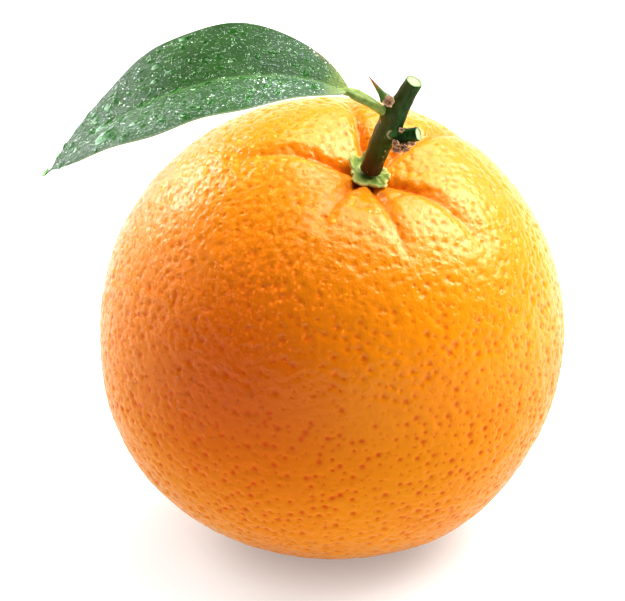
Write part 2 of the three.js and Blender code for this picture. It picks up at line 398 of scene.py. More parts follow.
def ramp(tree, value, low, high, out_low=0.0, out_high=1.0):
    """Turns a value into out_low up to low and out_high from high on, softly between them."""
    inputs = {"Value": value, "From Min": low, "From Max": high, "To Min": out_low, "To Max": out_high}
    return add(tree, "ShaderNodeMapRange", inputs, interpolation_type="SMOOTHSTEP").outputs["Result"]


def blend(tree, factor, a, b):
    """Mixes two colours, each a socket or a fixed colour."""
    a, b = (tone if isinstance(tone, bpy.types.NodeSocket) else (*tone, 1.0) for tone in (a, b))
    made = add(tree, "ShaderNodeMix", {"Factor": factor, "A": a, "B": b}, data_type="RGBA")
    return socket_named(made.outputs, "Result")


def lay_over(tree, colour, *layers):
    """Lays colours over the first in turn. A layer is its strength, where it lies, its colour."""
    for strength, where, tone in layers:
        colour = blend(tree, maths(tree, "MULTIPLY", where, strength), colour, tone)
    return colour


def noise(tree, vector, size_mm, detail=2.0, roughness=0.5, output="Fac"):
    """Soft noise whose features are about size_mm across."""
    inputs = {"Vector": vector, "Scale": 1 / (size_mm * MM), "Detail": detail, "Roughness": roughness}
    return add(tree, "ShaderNodeTexNoise", inputs).outputs[output]


def cells(tree, vector, size_mm):
    """The distance to the nearest of scattered points that lie about size_mm apart."""
    inputs = {"Vector": vector, "Scale": 1 / (size_mm * MM)}
    return add(tree, "ShaderNodeTexVoronoi", inputs).outputs["Distance"]


def attribute(tree, name):
    return add(tree, "ShaderNodeAttribute", attribute_name=name).outputs["Fac"]


def bump(tree, height, depth_mm, below=None):
    inputs = {"Height": height, "Strength": 1.0, "Distance": depth_mm * MM}
    if below is not None:
        inputs["Normal"] = below
    return add(tree, "ShaderNodeBump", inputs).outputs["Normal"]


def new_material(name, preview):
    """A node material with a Principled surface, ready to be wired."""
    material = bpy.data.materials.new(name)
    material.use_nodes = True
    material.diffuse_color = (*preview, 1.0)
    tree = material.node_tree
    tree.nodes.clear()
    surface = add(tree, "ShaderNodeBsdfPrincipled")
    add(tree, "ShaderNodeOutputMaterial", {"Surface": surface.outputs["BSDF"]})
    coordinate = add(tree, "ShaderNodeTexCoord").outputs["Object"]
    return material, tree, surface, coordinate


def wire(tree, node, **inputs):
    """Sets or links inputs of a node; underscores in names stand for spaces."""
    for name, value in inputs.items():
        socket = node.inputs[name.replace("_", " ")]
        if isinstance(value, bpy.types.NodeSocket):
            tree.links.new(value, socket)
        else:
            socket.default_value = value


def new_tree(name, sockets):
    """A geometry tree with named inputs. Returns the tree, its input sockets and its output."""
    tree = bpy.data.node_groups.new(name, "GeometryNodeTree")
    tree.interface.new_socket("Geometry", in_out="INPUT", socket_type="NodeSocketGeometry")
    for label, kind in sockets.items():
        tree.interface.new_socket(label, in_out="INPUT", socket_type="NodeSocket" + kind)
    tree.interface.new_socket("Geometry", in_out="OUTPUT", socket_type="NodeSocketGeometry")
    return tree, tree.nodes.new("NodeGroupInput").outputs, tree.nodes.new("NodeGroupOutput")


def finish_tree(tree, output, geometry, material):
    """Ends a tree with realized, smooth geometry in one material."""
    real = add(tree, "GeometryNodeRealizeInstances", {"Geometry": geometry}).outputs[0]
    smooth = add(tree, "GeometryNodeSetShadeSmooth", {"Geometry": real}).outputs[0]
    dressed = add(tree, "GeometryNodeSetMaterial", {"Geometry": smooth, "Material": material})
    tree.links.new(dressed.outputs[0], output.inputs["Geometry"])


def run_tree(target, tree, values):
    """Runs a geometry tree on an object and keeps the result as its plain mesh."""
    modifier = target.modifiers.new(tree.name, "NODES")
    modifier.node_group = tree
    for item in tree.interface.items_tree:
        if item.in_out == "INPUT" and item.name in values:
            modifier[item.identifier] = values[item.name]
    bpy.context.view_layer.update()
    graph = bpy.context.evaluated_depsgraph_get()
    result = bpy.data.meshes.new_from_object(target.evaluated_get(graph))
    target.modifiers.clear()
    target.data = result
    result.name = target.name
    if not result.polygons:
        raise RuntimeError(f"{tree.name} made nothing for {target.name}")


# ---- Materials ----
def peel_material(look):
    """Waxy orange peel with fine pebbling, and painted shade: darker in the creases and pores and on the
    front-left side.
    """
    material, tree, surface, place = new_material("orange_peel", look.colour)
    lower_pore_shade_and_dullness = attribute(tree, "lower_pore_shade_and_dullness")
    patches = ramp(tree, noise(tree, place, 14, 3.0), 0.35, 0.68)
    freckles = ramp(tree, noise(tree, place, 0.9, 2.0), 0.3, 0.75)
    # Painted shade in the pores: stronger on the lower peel and fading out near the floor.
    pore = ramp(tree, attribute(tree, "pore"), 0.25, 0.95)
    pore_shade_strength = maths(tree, "MULTIPLY_ADD", lower_pore_shade_and_dullness, 0.58, 0.25)
    pore_shade_strength = maths(tree, "MULTIPLY", pore_shade_strength, attribute(tree, "pore_shade_fade"))
    dimple = cells(tree, place, 1.6)
    colour = lay_over(
        tree,
        blend(tree, patches, look.colour, look.light_colour),
        (0.85, attribute(tree, "shoulder"), look.shoulder_colour),
        (0.45, freckles, look.freckle_colour),
        # Painted shade: a deeper orange on the front-left side.
        (1.0, attribute(tree, "painted_front_shade"), look.painted_shade_colour),
        # Painted shade along the bottom of the creases.
        (0.4, attribute(tree, "crease"), look.crease_shade_colour),
        (pore_shade_strength, pore, look.pore_shade_colour),
        # Painted shade in the small pits of the bump.
        (0.32, ramp(tree, dimple, 0.06, 0.22, 1.0, 0.0), look.pore_shade_colour),
    )
    dimpled = bump(tree, ramp(tree, dimple, 0.05, 0.34), 0.09)
    grain = noise(tree, place, 0.7, 3.0, 0.6)
    wire(
        tree,
        surface,
        Base_Color=colour,
        Roughness=ramp(tree, noise(tree, place, 2.5, 2.0), 0.3, 0.7, 0.14, 0.22),
        Normal=bump(tree, grain, 0.13, dimpled),
        Specular_IOR_Level=maths(tree, "MULTIPLY_ADD", lower_pore_shade_and_dullness, -0.38, 0.48),
        Sheen_Weight=0.05,
        Sheen_Roughness=0.35,
        Subsurface_Weight=0.12,
        Subsurface_Radius=(1.0, 0.4, 0.1),
        Subsurface_Scale=1.2 * MM,
    )
    return material


def water_material(name, colour, ior=1.333, glint=(1.0, 1.0, 1.0)):
    """Clear water, which glows with painted light where an attribute marks the side on which a drop
    gathers the light.
    """
    material, tree, surface, place = new_material(name, colour)
    wire(
        tree,
        surface,
        Base_Color=(*colour, 1.0),
        Roughness=0.02,
        IOR=ior,
        Specular_Tint=(*glint, 1.0),
        Transmission_Weight=1.0,
        # Painted light: the drop glows where an attribute marks the side that gathers the light.
        Emission_Color=(0.72, 0.86, 0.78, 1.0),
        Emission_Strength=maths(tree, "MULTIPLY", attribute(tree, "focus"), 0.7),
        Normal=bump(tree, noise(tree, place, 1.2, 1.0), 0.02),
    )
    return material


def leaf_material(look):
    """A leathery citrus blade: pale midrib and veins, a grey bloom of fine dew that is partly a painted
    sheen, paler underside.
    """
    material, tree, surface, place = new_material("leaf_blade", look.colour)
    mottle = ramp(tree, noise(tree, place, 5, 3.0), 0.3, 0.7)
    beads = cells(tree, place, 0.6)
    dew_bead_sheen = ramp(tree, beads, 0.2, 0.45, 1.0, 0.15)
    patchy = ramp(tree, noise(tree, place, 2.6, 3.0), 0.3, 0.62, 0.4, 1.0)
    colour = lay_over(
        tree,
        blend(tree, mottle, look.colour, look.light_colour),
        (0.04, attribute(tree, "vein"), look.vein_colour),
        (0.65, attribute(tree, "midrib"), look.vein_colour),
        (1.0, attribute(tree, "stalk_end"), look.stalk_colour),
        (0.7, attribute(tree, "dry_patch"), look.dry_colour),
        # Partly painted sheen: grey on the bead cells, towards the tip and the front edge, standing in for
        # reflected light as well as the finest dew.
        (maths(tree, "MULTIPLY", patchy, dew_bead_sheen), attribute(tree, "bloom"), look.bloom_and_sheen_colour),
        (0.75, attribute(tree, "rim"), look.rim_colour),
        (0.6, attribute(tree, "under"), look.under_colour),
    )
    grained = bump(tree, noise(tree, place, 0.35, 2.0), 0.02)
    wire(
        tree,
        surface,
        Base_Color=colour,
        Roughness=ramp(tree, noise(tree, place, 3, 2.0), 0.3, 0.7, 0.36, 0.5),
        Normal=bump(tree, ramp(tree, beads, 0.05, 0.5, 1.0, 0.0), 0.13, grained),
        Specular_IOR_Level=0.2,
    )
    return material


def bark_material(look):
    """Green young bark, olive and brown on its shaded side and foot, pale where it is cut."""
    material, tree, surface, place = new_material("green_bark", look.bark_colour)
    drawn_out = add(tree, "ShaderNodeMapping", {"Vector": place, "Scale": (1.0, 1.0, 0.25)}).outputs[0]
    streak = ramp(tree, noise(tree, drawn_out, 0.6, 3.0), 0.35, 0.7)
    fleck = ramp(tree, cells(tree, drawn_out, 0.85), 0.1, 0.2, 1.0, 0.0)
    fleck = maths(tree, "MULTIPLY", fleck, ramp(tree, noise(tree, place, 2.2, 1.0), 0.5, 0.62))
    wood = lay_over(
        tree,
        blend(tree, attribute(tree, "pith"), look.wood_colour, look.pith_colour),
        (0.3, noise(tree, place, 0.25, 2.0), look.cut_rim_colour),
    )
    colour = lay_over(
        tree,
        blend(tree, streak, look.bark_colour, look.bark_light_colour),
        (0.75, attribute(tree, "tan"), look.bark_olive_colour),
        (0.85, attribute(tree, "foot"), look.bark_foot_colour),
        (0.7, fleck, look.fleck_colour),
        (1.0, attribute(tree, "knob"), look.knob_colour),
        (0.85, attribute(tree, "scar"), look.fleck_colour),
        (1.0, attribute(tree, "cut"), wood),
    )
    wire(
        tree,
        surface,
        Base_Color=colour,
        Roughness=ramp(tree, streak, 0.0, 1.0, 0.38, 0.55),
        Normal=bump(tree, noise(tree, drawn_out, 0.5, 4.0, 0.6), 0.1),
        Specular_IOR_Level=0.25,
    )
    return material


def mottled_material(name, dark, light, size_mm, roughness, bump_mm, third=None, key=None):
    """A soft two-tone skin for the small pieces, with a third colour where an attribute says."""
    material, tree, surface, place = new_material(name, light)
    tone = ramp(tree, noise(tree, place, size_mm, 3.0), 0.34, 0.66)
    colour = blend(tree, tone, dark, light)
    if third is not None:
        colour = blend(tree, attribute(tree, key), colour, third)
    wear = noise(tree, place, size_mm * 2, 2.0)
    rough = ramp(tree, wear, 0.3, 0.7, roughness - 0.08, roughness + 0.08)
    normal = bump(tree, noise(tree, place, size_mm * 0.6, 3.0), bump_mm)
    wire(tree, surface, Base_Color=colour, Roughness=rough, Normal=normal)
    return material


def floor_material(look):
    """A pale floor that glows, less so under the fruit, which paints a shadow there, and more far away."""
    material, tree, surface, place = new_material("studio_floor", look.floor_colour)
    haze = noise(tree, place, 900, 2.0)
    away = vector_maths(tree, "LENGTH", place)
    # Painted shadow: the glow is lower close to the fruit.
    glow = ramp(tree, away, 12 * MM, 34 * MM, look.floor_glow_in_painted_shadow, look.floor_glow)
    glow = maths(tree, "ADD", glow, ramp(tree, away, 60 * MM, 220 * MM, 0.0, look.floor_glow_far))
    dark = tuple(channel * 0.985 for channel in look.floor_colour)
    wire(
        tree,
        surface,
        Base_Color=blend(tree, haze, dark, look.floor_colour),
        Roughness=0.75,
        Specular_IOR_Level=0.2,
        Emission_Color=(1.0, 1.0, 1.0, 1.0),
        Emission_Strength=glow,
    )
    return material


# ---- Geometry trees ----
def named_field(tree, name):
    made = add(tree, "GeometryNodeInputNamedAttribute", {"Name": name}, data_type="FLOAT")
    return socket_named(made.outputs, "Attribute")


def random_field(tree, low, high, seed=0):
    inputs = {"Min": low, "Max": high, "Seed": seed}
    made = add(tree, "FunctionNodeRandomValue", inputs, data_type="FLOAT")
    return socket_named(made.outputs, "Value")


def moved(tree, geometry, offset):
    inputs = {"Geometry": geometry, "Offset": offset}
    return add(tree, "GeometryNodeSetPosition", inputs).outputs[0]


def nearest_pore(tree, pores, pore_size, pore_radius):
    """Fields of the pore nearest to each vertex: the way to it, its distance, size and radius."""
    position = add(tree, "GeometryNodeInputPosition").outputs[0]
    inputs = {"Geometry": pores, "Sample Position": position}
    index = add(tree, "GeometryNodeSampleNearest", inputs).outputs["Index"]

    def of_nearest(value, kind):
        inputs = {"Geometry": pores, "Value": value, "Index": index}
        made = add(tree, "GeometryNodeSampleIndex", inputs, data_type=kind)
        return socket_named(made.outputs, "Value")

    towards = vector_maths(tree, "SUBTRACT", of_nearest(position, "FLOAT_VECTOR"), position)
    size = of_nearest(pore_size, "FLOAT")
    radius = maths(tree, "MULTIPLY", pore_radius, size)
    return towards, vector_maths(tree, "LENGTH", towards), size, radius


def relief_tree():
    """Pebbles the peel and sinks a pore at each of many evenly scattered points."""
    tree, given, output = new_tree(
        "peel_relief",
        {
            "Pore Spacing": "Float",
            "Pore Radius": "Float",
            "Pore Depth": "Float",
            "Pebble Height": "Float",
            "Crest Height": "Float",
            "Seed": "Int",
            "Material": "Material",
        },
    )
    skin_in = given["Geometry"]
    scatter = add(
        tree,
        "GeometryNodeDistributePointsOnFaces",
        {
            "Mesh": skin_in,
            "Distance Min": given["Pore Spacing"],
            "Density Max": 1.2e6,
            "Seed": given["Seed"],
        },
        distribute_method="POISSON",
    )
    pores = scatter.outputs["Points"]
    luck = maths(tree, "POWER", random_field(tree, 0.0, 1.0), 1.6)
    pore_size = maths(tree, "MULTIPLY_ADD", luck, 0.95, 0.4)

    # The surface's vertices crowd towards each pore, so that its pit comes out round.
    towards, distance, size, radius = nearest_pore(tree, pores, pore_size, given["Pore Radius"])
    pull = maths(tree, "MULTIPLY", bell_of(tree, distance, maths(tree, "MULTIPLY", radius, 1.6)), 0.4)
    crowded = moved(tree, skin_in, scaled(tree, towards, pull))

    position = add(tree, "GeometryNodeInputPosition").outputs[0]
    normal = add(tree, "GeometryNodeInputNormal").outputs[0]
    pebble = maths(tree, "SUBTRACT", noise(tree, position, 2.1, 1.5), 0.5)
    swell = maths(tree, "SUBTRACT", noise(tree, position, 7.0, 1.0), 0.5)
    rise = maths(tree, "MULTIPLY_ADD", swell, 1.2, pebble)
    rise = maths(tree, "MULTIPLY", rise, given["Pebble Height"])
    towards, distance, size, radius = nearest_pore(tree, pores, pore_size, given["Pore Radius"])
    pit = bell_of(tree, distance, radius)
    sink = maths(tree, "MULTIPLY", maths(tree, "MULTIPLY", pit, size), given["Pore Depth"])
    reach = maths(tree, "MULTIPLY", given["Pore Spacing"], 0.8)
    crest = maths(tree, "MULTIPLY", ramp(tree, distance, 0.0, reach), given["Crest Height"])
    away = maths(tree, "SUBTRACT", maths(tree, "ADD", rise, crest), sink)
    away = maths(tree, "MULTIPLY", away, named_field(tree, "relief"))
    sunk = moved(tree, crowded, scaled(tree, normal, away))

    # The material reads how deep in a pore each vertex came to lie.
    towards, distance, size, radius = nearest_pore(tree, pores, pore_size, given["Pore Radius"])
    inputs = {"Geometry": sunk, "Name": "pore", "Value": bell_of(tree, distance, radius)}
    kept = add(tree, "GeometryNodeStoreNamedAttribute", inputs, data_type="FLOAT", domain="POINT")
    finish_tree(tree, output, kept.outputs[0], given["Material"])
    return tree


def drops_tree():
    """Scatters flattened water drops where an attribute allows them, in mixed sizes."""
    tree, given, output = new_tree(
        "water_drops",
        {
            "Spacing": "Float",
            "Smallest": "Float",
            "Largest": "Float",
            "Rarity": "Float",
            "Stretch": "Float",
            "Height": "Float",
            "Wander": "Float",
            "Where": "String",
            "Seed": "Int",
            "Material": "Material",
        },
    )
    scatter = add(
        tree,
        "GeometryNodeDistributePointsOnFaces",
        {
            "Mesh": given["Geometry"],
            "Distance Min": given["Spacing"],
            "Density Max": 4.0e6,
            "Density Factor": named_field(tree, given["Where"]),
            "Seed": given["Seed"],
        },
        distribute_method="POISSON",
    )

    def chance(high, draw):
        return random_field(tree, 0.0, high, maths(tree, "ADD", given["Seed"], draw))

    share = maths(tree, "POWER", chance(1.0, 1), given["Rarity"])
    span = maths(tree, "SUBTRACT", given["Largest"], given["Smallest"])
    size = maths(tree, "MULTIPLY_ADD", share, span, given["Smallest"])
    longer = maths(tree, "MULTIPLY_ADD", chance(1.0, 2), given["Stretch"], 1.0)
    scale = add(tree, "ShaderNodeCombineXYZ", {"X": longer, "Y": 1.0, "Z": given["Height"]})
    spin = add(tree, "ShaderNodeCombineXYZ", {"Z": chance(2 * math.pi, 3)})
    twist = add(tree, "FunctionNodeEulerToRotation", {0: spin.outputs[0]}).outputs[0]
    turned = add(
        tree,
        "FunctionNodeRotateRotation",
        {"Rotation": scatter.outputs["Rotation"], "Rotate By": twist},
        rotation_space="LOCAL",
    ).outputs[0]
    bead = add(tree, "GeometryNodeMeshUVSphere", {"Segments": 8, "Rings": 5, "Radius": 1.0})
    placed = add(
        tree,
        "GeometryNodeInstanceOnPoints",
        {
            "Points": scatter.outputs["Points"],
            "Instance": bead.outputs["Mesh"],
            "Rotation": turned,
            "Scale": scaled(tree, scale.outputs[0], size),
        },
    ).outputs[0]
    real = add(tree, "GeometryNodeRealizeInstances", {"Geometry": placed}).outputs[0]
    position = add(tree, "GeometryNodeInputPosition").outputs[0]
    drift = noise(tree, position, 1.6, 0.0, output="Color")
    drift = vector_maths(tree, "SUBTRACT", drift, (0.5, 0.5, 0.5))
    warped = moved(tree, real, scaled(tree, drift, given["Wander"]))
    finish_tree(tree, output, warped, given["Material"])
    return tree


def let_light_through(piece):
    """Clear water and a thin blade hardly shade what is under them in so wide a light."""
    piece.visible_shadow = False


def scatter_drops(name, source, material, values):
    """A piece of water drops on a copy of another piece's surface."""
    drops = new_object(name, source.data.copy(), material)
    tree = bpy.data.node_groups.get("water_drops") or drops_tree()
    run_tree(drops, tree, {**values, "Material": material})
    let_light_through(drops)
    settle(drops, None)


# ---- Settings ----
def length(name, description, default_mm):
    return bpy.props.FloatProperty(
        name=name, description=description, default=default_mm * MM, unit="LENGTH", precision=5
    )


def tint(name, description, default):
    return bpy.props.FloatVectorProperty(
        name=name, description=description, default=default, subtype="COLOR", size=3, min=0, max=1
    )


class ORANGE_PG_peel(bpy.types.PropertyGroup):
    """Sizes and colours of the peel"""

    pore_spacing: length("Pore spacing", "Least distance between two pores", 1.45)
    pore_radius: length("Pore radius", "Radius of a middling pore", 0.5)
    pore_depth: length("Pore depth", "Depth of a middling pore", 0.17)
    pebble_height: length("Pebble height", "Height of the peel's soft unevenness", 0.28)
    crest_height: length("Crest height", "Height of the ridges between neighbouring pores", 0.07)
    seed: bpy.props.IntProperty(name="Seed", description="Layout of the pores", default=4)
    colour: tint("Colour", "Main colour of the peel", (0.84, 0.305, 0.002))
    light_colour: tint("Light colour", "Lighter patches of the peel", (0.86, 0.34, 0.003))
    shoulder_colour: tint("Shoulder colour", "Peel round the stem", (0.90, 0.335, 0.007))
    freckle_colour: tint("Freckle colour", "Fine oil glands under the skin", (0.90, 0.33, 0.008))
    # Painted shade: a deeper orange on the front-left side, where the fruit is in shade.
    painted_shade_colour: tint("Blush", "Deeper orange of the side that ripened in the sun", (0.70, 0.152, 0.001))
    # Painted shade: darker orange along the bottom of the creases.
    crease_shade_colour: tint("Crease colour", "Bottom of the creases", (0.80, 0.17, 0.002))
    # Painted shade: darker orange in the pores and the small pits of the bump.
    pore_shade_colour: tint("Pore colour", "Bottom of the pores", (0.70, 0.080, 0.0005))


class ORANGE_PG_twig(bpy.types.PropertyGroup):
    """Colours of the twig, buds, thorn and calyx"""

    bark_colour: tint("Bark", "Main colour of the bark", (0.010, 0.050, 0.005))
    bark_light_colour: tint("Light bark", "Lighter streaks of the bark", (0.036, 0.115, 0.014))
    bark_olive_colour: tint("Olive bark", "Tanned side of the bark", (0.09, 0.075, 0.008))
    bark_foot_colour: tint("Foot", "Bark where it meets the calyx", (0.13, 0.030, 0.008))
    fleck_colour: tint("Flecks", "Pale flecks on the bark", (0.55, 0.52, 0.32))
    wood_colour: tint("Wood", "Cut face of the wood", (0.36, 0.45, 0.20))
    pith_colour: tint("Pith", "Middle of the cut face", (0.52, 0.56, 0.36))
    cut_rim_colour: tint("Cut rim", "Tinge in the cut face", (0.16, 0.27, 0.06))
    calyx_colour: tint("Calyx", "Main colour of the calyx", (0.20, 0.32, 0.06))
    calyx_light_colour: tint("Light calyx", "Lighter parts of the calyx", (0.46, 0.54, 0.13))
    calyx_rim_colour: tint("Calyx rim", "Pale edge of the calyx", (0.64, 0.60, 0.20))
    thorn_colour: tint("Thorn", "Foot of the thorn", (0.09, 0.17, 0.03))
    thorn_tip_colour: tint("Thorn tip", "Tip of the thorn", (0.50, 0.17, 0.04))
    bud_dark_colour: tint("Dark bud", "Inner bud scales", (0.07, 0.022, 0.010))
    bud_light_colour: tint("Light bud", "Mottling of the bud scales", (0.48, 0.27, 0.14))
    bud_tip_colour: tint("Bud tips", "Dry tips of the bud scales", (0.92, 0.66, 0.44))
    knob_colour: tint("Knob", "Young green knob by the side shoot", (0.06, 0.17, 0.03))


class ORANGE_PG_leaf(bpy.types.PropertyGroup):
    """Colours of the leaf"""

    colour: tint("Colour", "Main colour of the blade", (0.020, 0.088, 0.007))
    light_colour: tint("Light colour", "Lighter mottling of the blade", (0.035, 0.12, 0.014))
    vein_colour: tint("Veins", "Midrib and side veins", (0.18, 0.33, 0.11))
    stalk_colour: tint("Stalk", "Leaf stalk and the blade beside it", (0.34, 0.42, 0.11))
    stalk_dark_colour: tint("Dark stalk", "Shaded parts of the stalk", (0.19, 0.28, 0.05))
    # Partly painted sheen: the grey stands for reflected light as well as for the finest dew.
    bloom_and_sheen_colour: tint("Bloom", "Grey bloom of the finest dew", (0.40, 0.46, 0.455))
    rim_colour: tint("Rim", "Pale edge of the blade", (0.42, 0.50, 0.24))
    dry_colour: tint("Dry patch", "Browned patch by the upper edge", (0.26, 0.15, 0.05))
    under_colour: tint("Underside", "Underside of the blade", (0.16, 0.28, 0.09))


class ORANGE_PG_water(bpy.types.PropertyGroup):
    """Sizes and tints of the water drops"""

    peel_spacing: length("Spacing on the peel", "Least distance between drops on the peel", 0.46)
    peel_smallest: length("Smallest on the peel", "Radius of the smallest drop", 0.14)
    peel_largest: length("Largest on the peel", "Radius of the largest drop", 0.4)
    leaf_spacing: length("Spacing on the leaf", "Least distance between drops on the leaf", 0.62)
    leaf_smallest: length("Smallest on the leaf", "Radius of the smallest drop", 0.13)
    leaf_largest: length("Largest on the leaf", "Radius of the largest fine drop", 0.5)
    clear_colour: tint("Clear water", "Fine dew on the leaf", (1.0, 1.0, 1.0))
    # Painted shade: a green tint that darkens the blade seen through the larger drops.
    drop_shade_colour: tint("Deep water", "Drops that darken the blade under them", (0.30, 0.62, 0.26))
    dew_colour: tint("Dew on the peel", "Tint of the dew on the peel", (1.0, 0.95, 0.84))
    dew_glint_colour: tint("Glints on the peel", "Tint of the dew's glints", (1.0, 0.80, 0.50))


class ORANGE_PG_stage(bpy.types.PropertyGroup):
    """Studio floor and lights"""

    floor_colour: tint("Floor", "Colour of the floor", (0.34, 0.34, 0.34))
    floor_glow: bpy.props.FloatProperty(
        name="Floor glow", description="Light that the floor itself gives off", default=0.76, min=0
    )
    # Painted shadow: the floor glows less close to the fruit.
    floor_glow_in_painted_shadow: bpy.props.FloatProperty(
        name="Glow under the fruit", description="The same light, close to the fruit", default=0.38, min=0
    )
    floor_glow_far: bpy.props.FloatProperty(
        name="Glow far away", description="What the floor gives off more, far away", default=0.3, min=0
    )
    sky_strength: bpy.props.FloatProperty(
        name="Surrounding light", description="Strength of the even light", default=0.14, min=0
    )
    key_power: bpy.props.FloatProperty(
        name="Key power", description="Power of the right softbox", default=2.9, unit="POWER"
    )
    overhead_strength: bpy.props.FloatProperty(
        name="Overhead light", description="Strength of the wide light above", default=4.85, min=0
    )


# ---- Operators ----
class PieceOperator:
    bl_options = {"REGISTER", "UNDO"}


class ORANGE_OT_peel(PieceOperator, bpy.types.Operator):
    """Make the fruit's peel with its creases, pebbling and pores"""

    bl_idname = "orange.peel"
    bl_label = "Peel"
    ball_splits = 99
    # How far the vertices crowd towards the stem, where the peel is creased.
    ring_crowding = 0.1

    def execute(self, context):
        look = context.scene.orange_peel
        even, faces = geodesic_ball(self.ball_splits)
        polar = np.arccos(np.clip(even[:, 2], -1, 1))
        polar = polar - self.ring_crowding * np.sin(polar)
        azimuth = np.arctan2(even[:, 1], even[:, 0])
        flat = np.sin(polar)
        directions = np.column_stack([flat * np.cos(azimuth), flat * np.sin(azimuth), np.cos(polar)])
        points = (directions * peel_radius(directions)[:, None]) @ AXIS_FRAME
        height = points[:, 2] + CENTRE_HEIGHT
        points[:, 2] = np.maximum(height, 0) - CENTRE_HEIGHT
        creases = crease_depths(directions).sum(axis=0)
        level = unit(points)
        shoulder = share_between(np.degrees(polar), 66, 26)
        attributes = {
            # Where painted shade darkens the creases.
            "crease": np.clip(creases / 1.6, 0, 1),
            "shoulder": shoulder * shoulder * (3 - 2 * shoulder),
            # The lower peel: stronger painted shade in the pores, and less gloss.
            "lower_pore_shade_and_dullness": share_between(height, 62, 32),
            "relief": share_between(height, 0, 1.5),
            # Fades the painted shade in the pores out near the floor.
            "pore_shade_fade": share_between(height, -7.5, 22.5),
            "pore": np.zeros(len(points)),
            # The front-left side, which gets painted shade.
            "painted_front_shade": bell(self.degrees_from(level, (-0.44, -0.88, 0.16)) / 32),
            "dew": self.dew(level),
        }
        mesh = new_mesh("peel", points, faces.tolist(), attributes)
        material = peel_material(look)
        peel = new_object("peel", mesh, material)
        values = {
            "Pore Spacing": look.pore_spacing,
            "Pore Radius": look.pore_radius,
            "Pore Depth": look.pore_depth,
            "Pebble Height": look.pebble_height,
            "Crest Height": look.crest_height,
            "Seed": look.seed,
            "Material": material,
        }
        run_tree(peel, relief_tree(), values)
        settle(peel, "peel", "fruit")
        return {"FINISHED"}

    def dew(self, level):
        """How densely dew sits on the peel: most on the left shoulder."""
        apart = self.degrees_from(level, (-0.55, -0.62, 0.55))
        return np.clip(1.3 * bell(apart / 27) - 0.1, 0, 1)

    def degrees_from(self, level, towards):
        cosine = level @ unit(np.array(towards))
        return np.degrees(np.arccos(np.clip(cosine, -1, 1)))


class ORANGE_OT_peel_dew(PieceOperator, bpy.types.Operator):
    """Scatter fine dew on the left shoulder of the peel"""

    bl_idname = "orange.peel_dew"
    bl_label = "Dew on the peel"

    def execute(self, context):
        look = context.scene.orange_water
        values = {
            "Spacing": look.peel_spacing,
            "Smallest": look.peel_smallest,
            "Largest": look.peel_largest,
            "Rarity": 1.4,
            "Stretch": 0.35,
            "Height": 0.7,
            "Wander": 0.1 * MM,
            "Where": "dew",
            "Seed": 11,
        }
        dew = water_material("peel_dew_water", look.dew_colour, ior=1.42, glint=look.dew_glint_colour)
        scatter_drops("peel_dew", bpy.data.objects["peel"], dew, values)
        return {"FINISHED"}


class ORANGE_OT_calyx(PieceOperator, bpy.types.Operator):
    """Make the five-lobed calyx under the stem"""

    bl_idname = "orange.calyx"
    bl_label = "Calyx"
    profile = ((0.1, 0), (0.5, 0), (0.85, 0), (1, 0.25), (0.99, 0.6), (0.93, 0.95), (0.85, 1), (0.6, 0.8))
    profile_top = ((0.45, 0.85), (0.3, 1), (0.1, 1))
    around = 240

    def execute(self, context):
        look = context.scene.orange_twig
        steps = route_points([(*step, 0) for step in self.profile + self.profile_top], 60)[0]
        azimuth = np.linspace(-180, 180, self.around, endpoint=False)
        share, level = steps[:, :1], steps[:, 1:2]
        apart = [turn_between(azimuth, lobe[0]) / LOBE_SPREAD for lobe in CALYX_LOBES]
        reach = sum(lobe[1] * bell(a) for lobe, a in zip(CALYX_LOBES, apart))
        lift = sum(lobe[2] * bell(a) for lobe, a in zip(CALYX_LOBES, apart))
        frill = 0.1 * np.sin(np.radians(azimuth) * 13 + 1) + 0.07 * np.sin(np.radians(azimuth) * 29)
        radius = share * (CALYX_RADIUS + reach + frill * share**2)
        thickness = CALYX_THICKNESS + (CALYX_RIM - CALYX_THICKNESS) * share
        ribs = 0.16 * np.abs(np.sin(np.radians(azimuth) * 5 + 6 * share)) * (level > 0.5) * share
        floor = FRUIT_RADIUS - BASIN_DEPTH + 0.12
        height = floor + 0.06 * radius**2 + level * thickness + ribs
        height = height + lift * np.maximum(0, share - 0.4) ** 2 / 0.36
        rings = np.stack(
            [
                radius * np.cos(np.radians(azimuth)),
                radius * np.sin(np.radians(azimuth)),
                height,
            ],
            axis=-1,
        )
        points, faces = skin(rings @ AXIS_FRAME)
        rim = np.broadcast_to(share_between(share, 0.8, 1), radius.shape).ravel()
        rim = np.append(rim, (0, 0))
        mesh = new_mesh("calyx_button", points, faces, {"rim": rim})
        green, light, pale = look.calyx_colour, look.calyx_light_colour, look.calyx_rim_colour
        material = mottled_material("calyx_green", green, light, 1.1, 0.5, 0.12, pale, "rim")
        settle(new_object("calyx_button", mesh, material), "calyx", "calyx")
        return {"FINISHED"}


def cut_rings(rings, inward, sink):
    """Rings that close a tube's last ring as a cut face, each a share of its radius."""
    centre = rings[-1].mean(axis=0)
    along = unit(rings[-1].mean(axis=0) - rings[-3].mean(axis=0))
    closing = [centre + (rings[-1] - centre) * share + along * down for share, down in zip(inward, sink)]
    return np.stack(closing)


CUT_SHARES = (0.97, 0.93, 0.84, 0.8, 0.55, 0.3, 0.12)
CUT_HEIGHTS = (0.06, 0.07, 0.04, 0.0, -0.02, -0.06, -0.1)
# How many rings after the bark's end the cut wood and its pith begin.
CUT_WOOD_START = 2
CUT_PITH_START = 4


